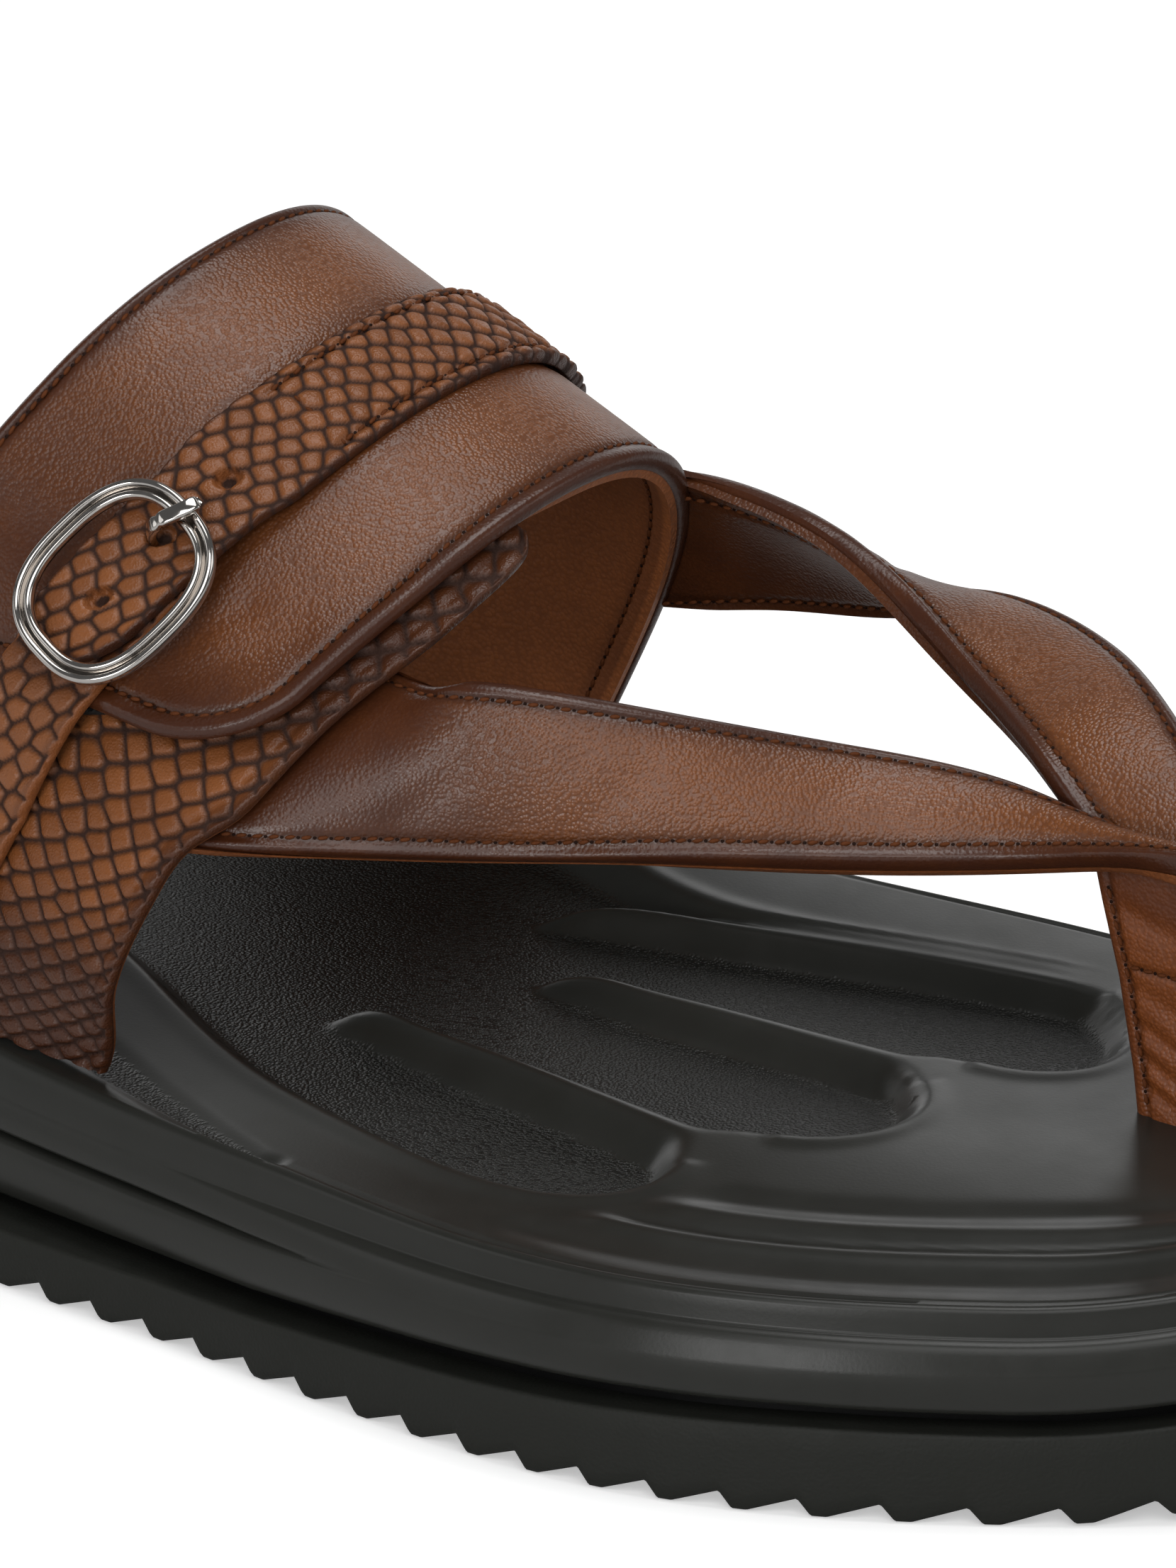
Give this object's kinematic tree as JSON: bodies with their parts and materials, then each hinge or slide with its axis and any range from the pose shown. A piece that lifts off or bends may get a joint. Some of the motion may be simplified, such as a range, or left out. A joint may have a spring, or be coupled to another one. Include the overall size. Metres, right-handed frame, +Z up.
{
  "type": "toe-post slipper",
  "caption": "Right-foot leather toe-post slipper: instep band with buckled embossed strap, toe straps to a toe post, contoured footbed and ripple outsole.",
  "frame": {"origin": "middle of the sole's bounding box, on the ground", "axes": "+X from heel to toe, +Y to the medial (inner) side of the foot, +Z up"},
  "size_m": [0.2858, 0.1152, 0.1062],
  "materials": {
    "outsole_rubber": "matt moulded rubber",
    "footbed_foam": "satin moulded foam, pebbled in the recess",
    "upper_leather": "burnished smooth brown leather, quarter embossed with scales",
    "embossed_leather": "scale-embossed brown leather",
    "tab_leather": "scale-embossed brown leather",
    "buckle_metal": "polished dark nickel",
    "prong_metal": "polished dark nickel"
  },
  "bodies": {
    "root": {"outsole": "outsole_rubber", "footbed": "footbed_foam", "upper": "upper_leather", "belt_strap": "embossed_leather", "buckle_tab": "tab_leather", "buckle_frame": "buckle_metal", "buckle_prong": "prong_metal"}
  },
  "joints": []
}
